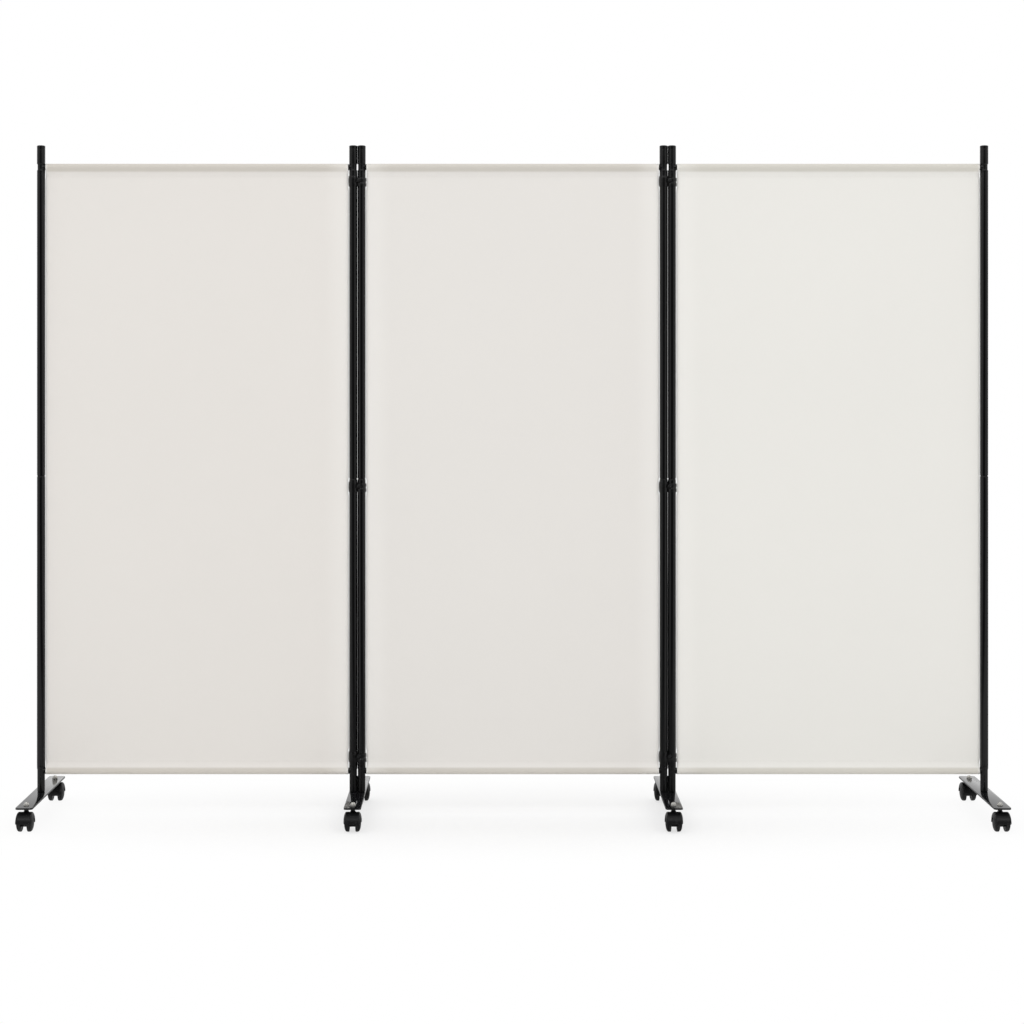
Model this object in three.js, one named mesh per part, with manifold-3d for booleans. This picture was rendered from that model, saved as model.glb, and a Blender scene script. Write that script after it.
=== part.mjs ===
import * as THREE from 'three';
import { mergeVertices } from 'three/addons/utils/BufferGeometryUtils.js';
import Module from 'manifold-3d';

const wasm = await Module();
wasm.setup();

// A three-panel folding screen on four caster feet, in millimetres, standing on the floor
// at z = 0, with the panels along X and the front towards -Y.

// The screen as a whole
const screenHeight = 1803;
const outerPoleSpread = 2537;
const centrePoleSpacing = 812.6;
const pairGap = 1.1;

// Fits
const seatGap = 0.3;
const turnGap = 0.3;
const cutOverrun = 5;
const weldDistance = 0.001;

// Poles: two steel tubes, a moulded cap above and a moulded leg below
const tubeDiameter = 21.2;
const tubeWall = 1.2;
const neckRecess = 1.2;
const neckMargin = 0.8;
const shoulderTaper = 3;
const shoulderHeight = 1.4;
const capLip = 0.4;
const capTaper = 3;
const capRounding = 1.6;
const plugDepth = 30;
const outerJointRise = 850;
const innerJointRise = 842;
const jointChamfer = 3;
const jointSleeve = 40;

// Rods across the top and the bottom of each panel
const rodDiameter = 16;
const rodWall = 1.2;
const topRodDrop = 59;
const bottomRodRise = 56;
const bossDiameter = 16.7;
const bossProud = 1.4;
const rodPegLength = 28;

// Cloth panels with a sewn pocket round each rod
const clothThickness = 0.9;
const pocketDepth = 22;
const clothClearance = 0.4;

// Legs, their studs and the nuts under the plates
const legRecess = 0.55;
const legTaper = 5;
const studDiameter = 8;
const studHoleGap = 0.4;
const washerDiameter = 16;
const washerThickness = 1.5;
const studNutFlats = 13;
const studNutHeight = 5;
const studTail = 1.5;

// Foot plates with a caster stem and a cap nut at each end
const plateLength = 406;
const plateWidth = 45;
const plateThickness = 4.5;
const plateCorner = 8;
const stemInset = 32;
const tongueWidth = 5;
const tongueDepth = 4;
const tongueGap = 0.5;
const tongueDrop = 1;
const capNutFlats = 13;
const capNutHexHeight = 3.5;
const capNutDomeHeight = 4.5;
const capNutDomeInset = 0.9;

// Casters
const wheelDiameter = 47;
const treadWidth = 7.4;
const domeDepth = 6.6;
const webWidth = 14.8;
const wheelSideGap = 0.6;
const axleDiameter = 6;
const casterTrail = 13;
const coverGap = 0.6;
const crownGap = 1.1;
const crownWall = 2.2;
const coverSideWall = 1.2;
const webFootDiameter = 22;
const stemDiameter = 8;
const stemCollarDiameter = 11.4;
const stemFlangeDiameter = 12.8;
const stemFlangeHeight = 1.2;
const stemClearHeight = 9.2;
const stemReach = 22;
const hoodCollarDiameter = 14;
const hoodCollarDrop = 1;

// Hinge clips round each pair of poles
const barrelHeight = 28;
const barrelSwell = 0.6;
const jawHeight = 23;
const jawDrop = 2.5;
const clipWall = 2.1;
const clipNotchHeight = 4;
const clipNotchDepth = 1;
const clipBridgeWidth = 9;
const clipBridgeDepth = 16;
const padLength = 17;
const padWidth = 11.6;
const padReach = 13.9;
const padShift = 4.5;
const padRise = 3;
const topClipDrop = 97;
const middleClipRise = 820;
const bottomClipRise = 94;

// Shares of the wheel radius and of the dome depth at the points of a wheel's outer face
const domeShares = [[0.83, 0.46], [0.51, 0.88], [0, 1]];
// Shares of the way from the cover's crown down to its edge, and out to its side
const coverShares = [[0, 0.1], [0.1, 0.28], [0.3, 0.54], [0.6, 0.74], [1, 1]];
// Share of the barrel's height that keeps its full width
const barrelFlatShare = 0.4;

// Tilt of the clip's oval pad, and the angles of the caster's cover round the axle, from the
// stem's side over the top
const padTilt = THREE.MathUtils.degToRad(45);
const coverStart = THREE.MathUtils.degToRad(-8);
const coverEnd = THREE.MathUtils.degToRad(180);
const webFootStart = THREE.MathUtils.degToRad(180);
const webFootEnd = THREE.MathUtils.degToRad(300);

// Sides of the faceted rounds
const poleSides = 12;
const rodSides = 12;
const boltSides = 8;
const hexSides = 6;
const wheelSides = 16;
const coverSides = 16;
const cornerSteps = 3;
const pocketSteps = 10;
const webSteps = 6;
const footSteps = 5;
const padSides = 12;
const sectorSteps = 3;

// Places worked out from the sizes above
const tubeRadius = tubeDiameter / 2;
const tubeBoreRadius = tubeRadius - tubeWall;
const plugRadius = tubeBoreRadius - seatGap;
const neckRadius = tubeRadius - neckRecess;
const capRadius = tubeRadius + capLip;
const legRadius = tubeRadius - legRecess;
const pairSpacing = tubeDiameter + pairGap;
const stemSpread = plateLength - 2 * stemInset;
const rodRadius = rodDiameter / 2;
const rodBoreRadius = rodRadius - rodWall;
const bossRadius = bossDiameter / 2;
const bossReach = tubeRadius + bossProud;
const neckReach = bossRadius + neckMargin;
const clipRadius = tubeRadius + turnGap + clipWall;
const wheelRadius = wheelDiameter / 2;
const coverInnerRadius = wheelRadius / Math.cos(Math.PI / wheelSides) + crownGap;
const coverRadius = coverInnerRadius + crownWall;
const hoodTop = wheelRadius + coverRadius;
const plateBottom = hoodTop + stemClearHeight;
const plateTop = plateBottom + plateThickness;
const hoodCollarTop = hoodTop - hoodCollarDrop;
const topRodHeight = screenHeight - topRodDrop;
const bottomRodHeight = plateTop + bottomRodRise;
const upperTubeTop = topRodHeight - neckReach - shoulderTaper - shoulderHeight - seatGap;
const lowerTubeBottom = bottomRodHeight + neckReach + shoulderTaper + shoulderHeight + seatGap;
const outerPoleX = outerPoleSpread / 2;
const centrePoleX = centrePoleSpacing / 2;
const innerPoleX = centrePoleX + pairSpacing;
const pairX = centrePoleX + pairSpacing / 2;

const blackPaint = { color: '#17171a', roughness: 0.35, metalness: 0.1 };
const glossPaint = { color: '#101012', roughness: 0.12, metalness: 0.1 };
const blackPlastic = { color: '#1b1b1d', roughness: 0.55, metalness: 0 };
const wheelPlastic = { color: '#1f1f21', roughness: 0.45, metalness: 0 };
const creamCloth = { color: '#e5e2dc', roughness: 0.9, metalness: 0 };

// Closed surface to boolean solid
function solidOf(geometry) {
  const bare = geometry.clone();
  bare.deleteAttribute('normal');
  bare.deleteAttribute('uv');
  const welded = mergeVertices(bare, weldDistance);
  const corners = welded.index.array;
  const kept = [];
  for (let i = 0; i < corners.length; i += 3) {
    const [a, b, c] = [corners[i], corners[i + 1], corners[i + 2]];
    if (a !== b && b !== c && c !== a) {
      kept.push(a, b, c);
    }
  }
  const mesh = new wasm.Mesh({
    numProp: 3,
    vertProperties: welded.attributes.position.array,
    triVerts: new Uint32Array(kept),
  });
  return new wasm.Manifold(mesh);
}

// Boolean solid back to a surface
function surfaceOf(solid) {
  const mesh = solid.getMesh();
  const geometry = new THREE.BufferGeometry();
  geometry.setAttribute('position', new THREE.BufferAttribute(mesh.vertProperties, mesh.numProp));
  geometry.setIndex(new THREE.BufferAttribute(mesh.triVerts, 1));
  geometry.computeVertexNormals();
  return geometry;
}

function joined(geometries) {
  const solids = geometries.map(solidOf);
  return solids.reduce((whole, piece) => whole.add(piece));
}

function without(solid, geometries) {
  const cuts = geometries.map(solidOf);
  return cuts.reduce((whole, cut) => whole.subtract(cut), solid);
}

// Corner radius of a faceted round whose flat sides lie on the true radius
function flatsAt(radius, sides) {
  return radius / Math.cos(Math.PI / sides);
}

// Turned about Z from [radius, height] points that run up the outside
function turned(points, sides, turn = 0) {
  const outline = points.map(([radius, height]) => new THREE.Vector2(radius, height));
  const geometry = new THREE.LatheGeometry(outline, sides, turn);
  return geometry.rotateX(Math.PI / 2);
}

function rod(radius, low, high, sides, turn = 0) {
  return turned([[0, low], [radius, low], [radius, high], [0, high]], sides, turn);
}

function pipe(radius, bore, low, high, sides) {
  return turned([[bore, low], [radius, low], [radius, high], [bore, high], [bore, low]], sides);
}

function hexagon(flats, low, high) {
  return rod(flatsAt(flats / 2, hexSides), low, high, hexSides);
}

// Points of a faceted arc whose flats lie on the radius
function arcPoints(x, y, radius, from, to, steps) {
  const corner = radius / Math.cos((to - from) / steps / 2);
  const points = [];
  for (let i = 0; i <= steps; i += 1) {
    const angle = from + (to - from) * i / steps;
    points.push(new THREE.Vector2(x + corner * Math.cos(angle), y + corner * Math.sin(angle)));
  }
  return points;
}

// A section drawn in the YZ plane and run along X, centred on x = 0
function alongX(shape, length) {
  const geometry = new THREE.ExtrudeGeometry(shape, { depth: length, bevelEnabled: false });
  geometry.translate(0, 0, -length / 2);
  const basis = new THREE.Matrix4().makeBasis(
    new THREE.Vector3(0, 1, 0),
    new THREE.Vector3(0, 0, 1),
    new THREE.Vector3(1, 0, 0),
  );
  return geometry.applyMatrix4(basis);
}

// Boss on the pole's side and the peg that enters the rod
function rodHolder(side, height) {
  const pegRadius = rodBoreRadius - seatGap;
  const holder = turned([
    [0, 0],
    [bossRadius, 0],
    [bossRadius, bossReach],
    [pegRadius, bossReach],
    [pegRadius, bossReach + rodPegLength],
    [0, bossReach + rodPegLength],
  ], rodSides);
  holder.rotateY(side * Math.PI / 2);
  return holder.translate(0, 0, height);
}

// Moulded cap: plug in the tube, shoulder, neck with the rod's boss, and the capped end
function topCap(side) {
  const shoulder = upperTubeTop + seatGap;
  const capBottom = topRodHeight + neckReach;
  const body = turned([
    [0, shoulder - plugDepth],
    [plugRadius, shoulder - plugDepth],
    [plugRadius, shoulder],
    [tubeRadius, shoulder],
    [tubeRadius, shoulder + shoulderHeight],
    [neckRadius, shoulder + shoulderHeight + shoulderTaper],
    [neckRadius, capBottom],
    [capRadius, capBottom + capTaper],
    [capRadius, screenHeight - capRounding],
    [capRadius - capRounding, screenHeight],
    [0, screenHeight],
  ], poleSides);
  return surfaceOf(joined([body, rodHolder(side, topRodHeight)]));
}

function upperTube(jointRise) {
  return pipe(tubeRadius, tubeBoreRadius, plateTop + jointRise + seatGap, upperTubeTop, poleSides);
}

// Lower tube, swaged at its top into a sleeve that enters the upper tube
function lowerTube(jointRise) {
  const joint = plateTop + jointRise;
  const sleeveBore = plugRadius - tubeWall;
  return turned([
    [tubeBoreRadius, lowerTubeBottom],
    [tubeRadius, lowerTubeBottom],
    [tubeRadius, joint - jointChamfer],
    [plugRadius, joint],
    [plugRadius, joint + jointSleeve],
    [sleeveBore, joint + jointSleeve],
    [sleeveBore, joint],
    [tubeBoreRadius, joint - jointChamfer],
    [tubeBoreRadius, lowerTubeBottom],
  ], poleSides);
}

// Moulded leg with the rod's boss, on a stud that turns in the plate, held by a washer and nut
function leg(side) {
  const legBottom = plateTop + turnGap;
  const neckBottom = bottomRodHeight - neckReach;
  const neckTop = bottomRodHeight + neckReach;
  const shoulder = lowerTubeBottom - seatGap;
  const washerTop = plateBottom - turnGap;
  const nutTop = washerTop - washerThickness;
  const nutBottom = nutTop - studNutHeight;
  const body = turned([
    [0, legBottom],
    [legRadius, legBottom],
    [legRadius, neckBottom - legTaper],
    [neckRadius, neckBottom],
    [neckRadius, neckTop],
    [tubeRadius, neckTop + shoulderTaper],
    [tubeRadius, shoulder],
    [plugRadius, shoulder],
    [plugRadius, shoulder + plugDepth],
    [0, shoulder + plugDepth],
  ], poleSides);
  const stud = rod(studDiameter / 2, nutBottom - studTail, legBottom + washerThickness, boltSides);
  const washer = rod(washerDiameter / 2, nutTop, washerTop, boltSides);
  const nut = hexagon(studNutFlats, nutBottom, nutTop);
  return surfaceOf(joined([body, rodHolder(side, bottomRodHeight), stud, washer, nut]));
}

function crossRod(poleSpacing) {
  const length = poleSpacing - 2 * (bossReach + seatGap);
  const geometry = pipe(rodRadius, rodBoreRadius, -length / 2, length / 2, rodSides);
  return geometry.rotateY(Math.PI / 2);
}

// One sheet, folded round each rod and sewn to itself a pocket's depth away
function cloth(poleSpacing) {
  const width = poleSpacing - 2 * (clipRadius + clothClearance);
  const inner = rodRadius + seatGap;
  const outer = inner + clothThickness;
  const half = clothThickness / 2;
  const lean = Math.asin(inner / pocketDepth);
  const vDepth = pocketDepth + (clothThickness - half * Math.cos(lean)) / Math.sin(lean);
  const topFrom = -lean;
  const topTo = Math.PI + lean;
  const bottomFrom = Math.PI - lean;
  const bottomTo = 2 * Math.PI + lean;
  const outline = new THREE.Shape([
    ...arcPoints(0, bottomRodHeight, outer, bottomFrom, bottomTo, pocketSteps),
    new THREE.Vector2(half, bottomRodHeight + vDepth),
    new THREE.Vector2(half, topRodHeight - vDepth),
    ...arcPoints(0, topRodHeight, outer, topFrom, topTo, pocketSteps),
    new THREE.Vector2(-half, topRodHeight - vDepth),
    new THREE.Vector2(-half, bottomRodHeight + vDepth),
  ]);
  outline.holes.push(new THREE.Path([
    ...arcPoints(0, topRodHeight, inner, topFrom, topTo, pocketSteps),
    new THREE.Vector2(0, topRodHeight - pocketDepth),
  ]));
  outline.holes.push(new THREE.Path([
    ...arcPoints(0, bottomRodHeight, inner, bottomFrom, bottomTo, pocketSteps),
    new THREE.Vector2(0, bottomRodHeight + pocketDepth),
  ]));
  return alongX(outline, width);
}

function roundedRectangle(width, length, corner) {
  const x = width / 2 - corner;
  const y = length / 2 - corner;
  const quarter = Math.PI / 2;
  const centres = [[x, y], [-x, y], [-x, -y], [x, -y]];
  const points = [];
  for (let i = 0; i < centres.length; i += 1) {
    for (let step = 0; step <= cornerSteps; step += 1) {
      const angle = quarter * (i + step / cornerSteps);
      const [cx, cy] = centres[i];
      points.push(new THREE.Vector2(cx + corner * Math.cos(angle), cy + corner * Math.sin(angle)));
    }
  }
  return new THREE.Shape(points);
}

// Caster stem clamped in the plate by a cap nut
function casterStem(y) {
  const nutTop = plateTop + capNutHexHeight;
  const domeRadius = capNutFlats / 2 - capNutDomeInset;
  const stem = turned([
    [0, hoodCollarTop - stemReach],
    [stemDiameter / 2, hoodCollarTop - stemReach],
    [stemDiameter / 2, hoodCollarTop + turnGap],
    [stemCollarDiameter / 2, hoodCollarTop + turnGap],
    [stemCollarDiameter / 2, plateBottom - stemFlangeHeight],
    [stemFlangeDiameter / 2, plateBottom - stemFlangeHeight],
    [domeRadius, nutTop],
    [domeRadius * Math.cos(Math.PI / 4), nutTop + capNutDomeHeight * Math.sin(Math.PI / 4)],
    [0, nutTop + capNutDomeHeight],
  ], boltSides);
  const hex = hexagon(capNutFlats, plateTop - plateThickness / 2, nutTop);
  return [stem.translate(0, y, 0), hex.translate(0, y, 0)];
}

// Tongue standing on a pair's plate behind the slit between its legs
function legTongue() {
  const aside = (pairSpacing - tongueWidth) / 2;
  const front = Math.sqrt((legRadius + tongueGap) ** 2 - aside ** 2);
  const low = plateTop - plateThickness / 2;
  const high = bottomRodHeight - neckReach - legTaper - tongueDrop;
  const tongue = new THREE.BoxGeometry(tongueWidth, tongueDepth, high - low);
  return tongue.translate(0, front + tongueDepth / 2, (low + high) / 2);
}

// Steel plate on two casters, with a hole for the stud of each pole it carries
function footPlate(poleOffsets) {
  const outline = roundedRectangle(plateWidth, plateLength, plateCorner);
  for (const offset of poleOffsets) {
    const hole = studDiameter / 2 + studHoleGap;
    outline.holes.push(new THREE.Path(
      arcPoints(offset, 0, hole, 0, 2 * Math.PI, boltSides).slice(1),
    ));
  }
  const plate = new THREE.ExtrudeGeometry(outline, { depth: plateThickness, bevelEnabled: false });
  plate.translate(0, 0, plateBottom);
  const stems = [-stemSpread / 2, stemSpread / 2].flatMap(casterStem);
  const tongues = poleOffsets.length > 1 ? [legTongue()] : [];
  return surfaceOf(joined([plate, ...stems, ...tongues]));
}

// Two rings moulded as one, a plain barrel on the left pole and a notched jaw on the right,
// with a tilted oval pad at the front
function hingeClip() {
  const half = barrelHeight / 2;
  const flat = half * barrelFlatShare;
  const endRadius = clipRadius - barrelSwell;
  const notchRadius = clipRadius - clipNotchDepth;
  const barrel = turned([
    [0, -half],
    [endRadius, -half],
    [clipRadius, -flat],
    [clipRadius, flat],
    [endRadius, half],
    [0, half],
  ], poleSides);
  const jaw = turned([
    [0, -jawHeight / 2],
    [clipRadius, -jawHeight / 2],
    [clipRadius, -clipNotchHeight / 2],
    [notchRadius, -clipNotchHeight / 2],
    [notchRadius, clipNotchHeight / 2],
    [clipRadius, clipNotchHeight / 2],
    [clipRadius, jawHeight / 2],
    [0, jawHeight / 2],
  ], poleSides);
  const bridge = new THREE.BoxGeometry(clipBridgeWidth, clipBridgeDepth, jawHeight);
  const pad = rod(padLength / 2, 0, padReach, padSides);
  pad.scale(1, padWidth / padLength, 1);
  pad.rotateZ(padTilt);
  pad.rotateX(Math.PI / 2);
  const body = joined([
    barrel.translate(-pairSpacing / 2, 0, 0),
    jaw.translate(pairSpacing / 2, 0, -jawDrop),
    bridge.translate(0, 0, -jawDrop),
    pad.translate(padShift, 0, padRise),
  ]);
  const boreRadius = flatsAt(tubeRadius + turnGap, poleSides);
  const overrun = half + cutOverrun;
  const bores = [-pairSpacing / 2, pairSpacing / 2].map((x) => {
    const bore = rod(boreRadius, -overrun, overrun, poleSides, Math.PI / poleSides);
    return bore.translate(x, 0, 0);
  });
  return surfaceOf(without(body, bores));
}

// Turned about the axle, which lies along X at the wheels' height behind the stem
function turnedOnAxle(points, sides, turn) {
  const geometry = turned(points, sides, turn);
  geometry.rotateY(Math.PI / 2);
  return geometry.translate(0, -casterTrail, wheelRadius);
}

// Half width of a wheel pair at a share of the dome's depth
function domeX(share) {
  return webWidth / 2 + wheelSideGap + treadWidth + domeDepth * share;
}

// Both wheels on their axle
function wheelPair() {
  const corner = flatsAt(wheelRadius, wheelSides);
  const inside = webWidth / 2 + wheelSideGap;
  const half = [[axleDiameter / 2, inside], [corner, inside], [corner, domeX(0)]];
  for (const [radiusShare, depthShare] of domeShares) {
    half.push([corner * radiusShare, domeX(depthShare)]);
  }
  const mirrored = half.map(([radius, x]) => [radius, -x]).reverse();
  return turnedOnAxle([...mirrored, ...half], wheelSides, Math.PI / wheelSides);
}

// Cover over the wheels, web between them and socket for the stem
function casterHood() {
  const inside = domeShares.slice(0, 2).reverse().map(([radiusShare, depthShare]) => [
    flatsAt(wheelRadius, wheelSides) * radiusShare,
    domeX(depthShare) + coverGap,
  ]);
  const [edgeRadius, edgeInside] = inside[0];
  inside.push([coverInnerRadius, domeX(0)]);
  const sideX = edgeInside + coverSideWall;
  const outside = coverShares.map(([dropShare, sideShare]) => [
    coverRadius + (edgeRadius - coverRadius) * dropShare,
    domeX(0) + (sideX - domeX(0)) * sideShare,
  ]);
  const right = [...outside, ...inside].map(([radius, x]) => [flatsAt(radius, coverSides), x]);
  const left = right.map(([radius, x]) => [radius, -x]).reverse();
  const half = inside.length;
  const section = [...left.slice(half), ...right, ...left.slice(0, half), left[half]];
  const ring = turnedOnAxle(section, coverSides, 0);

  const sectorRadius = 2 * coverRadius;
  const sector = alongX(new THREE.Shape([
    new THREE.Vector2(-casterTrail, wheelRadius),
    ...arcPoints(-casterTrail, wheelRadius, sectorRadius, coverStart, coverEnd, sectorSteps),
  ]), 2 * (sideX + cutOverrun));

  const webRadius = coverInnerRadius + crownWall / 2;
  const web = alongX(new THREE.Shape([
    ...arcPoints(-casterTrail, wheelRadius, webRadius, coverStart, coverEnd, webSteps),
    ...arcPoints(-casterTrail, wheelRadius, webFootDiameter / 2, webFootStart, webFootEnd, footSteps),
  ]), webWidth);

  const collar = rod(hoodCollarDiameter / 2, wheelRadius, hoodCollarTop, boltSides);
  const stemHole = rod(
    flatsAt(stemDiameter / 2 + turnGap, boltSides),
    hoodCollarTop - stemReach - turnGap,
    hoodCollarTop + cutOverrun,
    boltSides,
  );
  const axleHole = turnedOnAxle([
    [0, -webWidth],
    [flatsAt(axleDiameter / 2 + turnGap, boltSides), -webWidth],
    [flatsAt(axleDiameter / 2 + turnGap, boltSides), webWidth],
    [0, webWidth],
  ], boltSides, 0);
  const cover = solidOf(ring).intersect(solidOf(sector));
  const body = cover.add(solidOf(web)).add(solidOf(collar));
  return surfaceOf(without(body, [stemHole, axleHole]));
}

const screen = new THREE.Group();

function place(parent, name, geometry, finish, x = 0, y = 0, z = 0) {
  const mesh = new THREE.Mesh(geometry, new THREE.MeshStandardMaterial(finish));
  mesh.name = name;
  mesh.position.set(x, y, z);
  parent.add(mesh);
}

function addPole(name, x, side, jointRise) {
  place(screen, `${name}_top_cap`, topCap(side), blackPlastic, x);
  place(screen, `${name}_upper_tube`, upperTube(jointRise), blackPaint, x);
  place(screen, `${name}_lower_tube`, lowerTube(jointRise), blackPaint, x);
  place(screen, `${name}_leg`, leg(side), blackPlastic, x);
}

function addPanel(name, leftX, rightX) {
  const spacing = rightX - leftX;
  const middle = (leftX + rightX) / 2;
  place(screen, `${name}_top_rod`, crossRod(spacing), blackPaint, middle, 0, topRodHeight);
  place(screen, `${name}_bottom_rod`, crossRod(spacing), blackPaint, middle, 0, bottomRodHeight);
  place(screen, `${name}_cloth`, cloth(spacing), creamCloth, middle);
}

function addCaster(name, x, y, turn) {
  const caster = new THREE.Group();
  caster.position.set(x, y, 0);
  caster.rotation.z = turn;
  place(caster, `${name}_hood`, casterHood(), blackPlastic);
  place(caster, `${name}_wheels`, wheelPair(), wheelPlastic);
  screen.add(caster);
}

function addFoot(name, x, poleOffsets) {
  place(screen, `${name}_foot`, footPlate(poleOffsets), glossPaint, x);
  addCaster(`${name}_front_caster`, x, -stemSpread / 2, 0);
  addCaster(`${name}_back_caster`, x, stemSpread / 2, Math.PI);
}

function addClips(name, x) {
  const heights = {
    top: screenHeight - topClipDrop,
    middle: plateTop + middleClipRise,
    bottom: plateTop + bottomClipRise,
  };
  for (const [level, height] of Object.entries(heights)) {
    place(screen, `${name}_${level}_clip`, hingeClip(), blackPlastic, x, 0, height);
  }
}

addPole('left_outer', -outerPoleX, 1, outerJointRise);
addPole('left_inner', -innerPoleX, -1, innerJointRise);
addPole('centre_left', -centrePoleX, 1, innerJointRise);
addPole('centre_right', centrePoleX, -1, innerJointRise);
addPole('right_inner', innerPoleX, 1, innerJointRise);
addPole('right_outer', outerPoleX, -1, outerJointRise);

addPanel('left', -outerPoleX, -innerPoleX);
addPanel('centre', -centrePoleX, centrePoleX);
addPanel('right', innerPoleX, outerPoleX);

addFoot('left_outer', -outerPoleX, [0]);
addFoot('left_middle', -pairX, [-pairSpacing / 2, pairSpacing / 2]);
addFoot('right_middle', pairX, [-pairSpacing / 2, pairSpacing / 2]);
addFoot('right_outer', outerPoleX, [0]);

addClips('left', -pairX);
addClips('right', pairX);

export default screen;
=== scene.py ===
import math
import random

import bmesh
import bpy
from mathutils import Matrix, Vector


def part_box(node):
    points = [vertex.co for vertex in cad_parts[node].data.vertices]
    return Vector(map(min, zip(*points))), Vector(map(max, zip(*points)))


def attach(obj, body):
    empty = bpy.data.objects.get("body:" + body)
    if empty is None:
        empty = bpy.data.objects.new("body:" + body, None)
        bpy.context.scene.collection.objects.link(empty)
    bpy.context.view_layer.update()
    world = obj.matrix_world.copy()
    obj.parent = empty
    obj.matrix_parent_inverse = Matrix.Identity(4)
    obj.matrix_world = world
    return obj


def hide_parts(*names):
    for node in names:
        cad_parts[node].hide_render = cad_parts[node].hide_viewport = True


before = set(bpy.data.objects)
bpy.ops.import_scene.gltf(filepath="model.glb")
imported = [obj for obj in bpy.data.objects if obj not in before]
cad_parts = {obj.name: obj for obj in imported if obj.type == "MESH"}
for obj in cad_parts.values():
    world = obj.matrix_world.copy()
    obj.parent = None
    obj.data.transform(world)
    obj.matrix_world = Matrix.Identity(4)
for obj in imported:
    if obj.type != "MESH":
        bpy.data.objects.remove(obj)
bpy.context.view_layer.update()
print("frame loaded,", len(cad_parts), "nodes")

# Everything is in metres in the frame's own axes: panels along X, front towards -Y.


# What several pieces share: a few sizes of the solids, and heights read from the frame
shared = {"nutHeight": 0.008, "plateThickness": 0.0045, "collarDrop": 0.001, "gap": 0.0003}

gap = shared["gap"]
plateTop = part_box("left_outer_foot")[1].z - shared["nutHeight"]
plateBottom = plateTop - shared["plateThickness"]
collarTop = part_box("left_outer_front_caster_hood")[1].z - shared["collarDrop"]
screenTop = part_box("left_outer_top_cap")[1].z


# A socket that takes part in plain Python sums
class Flow:
    def __init__(self, finish, socket):
        self.finish = finish
        self.socket = socket

    def sum(self, operation, first, second):
        return self.finish.node("Math", {"operation": operation}, {0: first, 1: second})

    def __add__(self, other):
        return self.sum("ADD", self, other)

    def __sub__(self, other):
        return self.sum("SUBTRACT", self, other)

    def __rsub__(self, other):
        return self.sum("SUBTRACT", other, self)

    def __mul__(self, other):
        return self.sum("MULTIPLY", self, other)

    __radd__ = __add__
    __rmul__ = __mul__


# A material or world under construction
class Finish:
    def __init__(self, name, owner=None):
        self.owner = owner or bpy.data.materials.new(name)
        self.owner.use_nodes = True
        self.tree = self.owner.node_tree
        self.tree.nodes.clear()

    # Any node: its settings are set first, then values or links go to its sockets
    def node(self, kind, settings=None, values=None, output=0):
        made = self.tree.nodes.new("ShaderNode" + kind)
        for setting, value in (settings or {}).items():
            setattr(made, setting, value)
        for key, value in (values or {}).items():
            if isinstance(value, Flow):
                self.tree.links.new(value.socket, made.inputs[key])
            else:
                made.inputs[key].default_value = value
        return Flow(self, made.outputs[output]) if len(made.outputs) else made

    def place(self, axis=None):
        where = self.node("TexCoord", output="Object")
        if axis is None:
            return where
        return self.node("SeparateXYZ", values={0: where}, output=axis)

    def noise(self, scale, detail=2.0, stretch=(1, 1, 1)):
        where = self.node("Mapping", values={"Vector": self.place(), "Scale": stretch})
        return self.node("TexNoise", values={"Vector": where, "Scale": scale, "Detail": detail})

    def wave(self, value, pitch):
        return self.node("Math", {"operation": "SINE"}, {0: value * (2 * math.pi / pitch)})

    # 0 below the first value, 1 above the second, smooth between them
    def step(self, value, low, high):
        return self.node("MapRange", {"interpolation_type": "SMOOTHSTEP"},
                         {"Value": value, "From Min": low, "From Max": high})

    def between(self, mask, first, second):
        first, second = (c if isinstance(c, Flow) else (*c, 1) for c in (first, second))
        return self.node("Mix", {"data_type": "RGBA"}, {0: mask, 6: first, 7: second}, output=2)

    def bump(self, height, depth):
        return self.node("Bump", values={"Height": height, "Distance": depth})

    def surface(self, colour, roughness, normal, **constants):
        values = {"Base Color": colour, "Roughness": roughness, "Normal": normal}
        shader = self.node("BsdfPrincipled", values={**values, **constants})
        self.node("OutputMaterial", values={"Surface": shader})
        return self.owner


# Black finishes, from the tubes' powder coat to the casters' nylon

tubePaint = {"colour": (0.0015, 0.0015, 0.0018), "dusty": (0.004, 0.004, 0.004), "dust": 0.5,
             "roughness": 0.16, "uneven": 0.12, "speckled": 0.06,
             "cloud": 7, "grain": 1400, "peel": 0.00002}


def makeTubePaint():
    finish = Finish("satin black powder coat")
    cloud = finish.noise(tubePaint["cloud"], 3)
    grain = finish.noise(tubePaint["grain"])
    colour = finish.between(cloud * tubePaint["dust"], tubePaint["colour"], tubePaint["dusty"])
    roughness = tubePaint["roughness"] + (cloud - 0.5) * tubePaint["uneven"] \
        + (grain - 0.5) * tubePaint["speckled"]
    return finish.surface(colour, roughness, finish.bump(grain, tubePaint["peel"]))


platePaint = {"colour": (0.006, 0.006, 0.007), "rubbed": (0.02, 0.02, 0.021), "rubShare": 0.4,
              "roughness": 0.085, "rubRoughness": 0.08, "ior": 1.6,
              # side is painted shade: the plate's sides are painted darker than its top
              "side": (0.001, 0.001, 0.001), "sideRoughness": 0.15, "shadedSideFrom": 0.0005,
              "rubs": 55, "rubStretch": 0.15, "rubsFrom": 0.58, "rubsTo": 0.8,
              "wave": 240, "peel": 0.00001}


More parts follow.
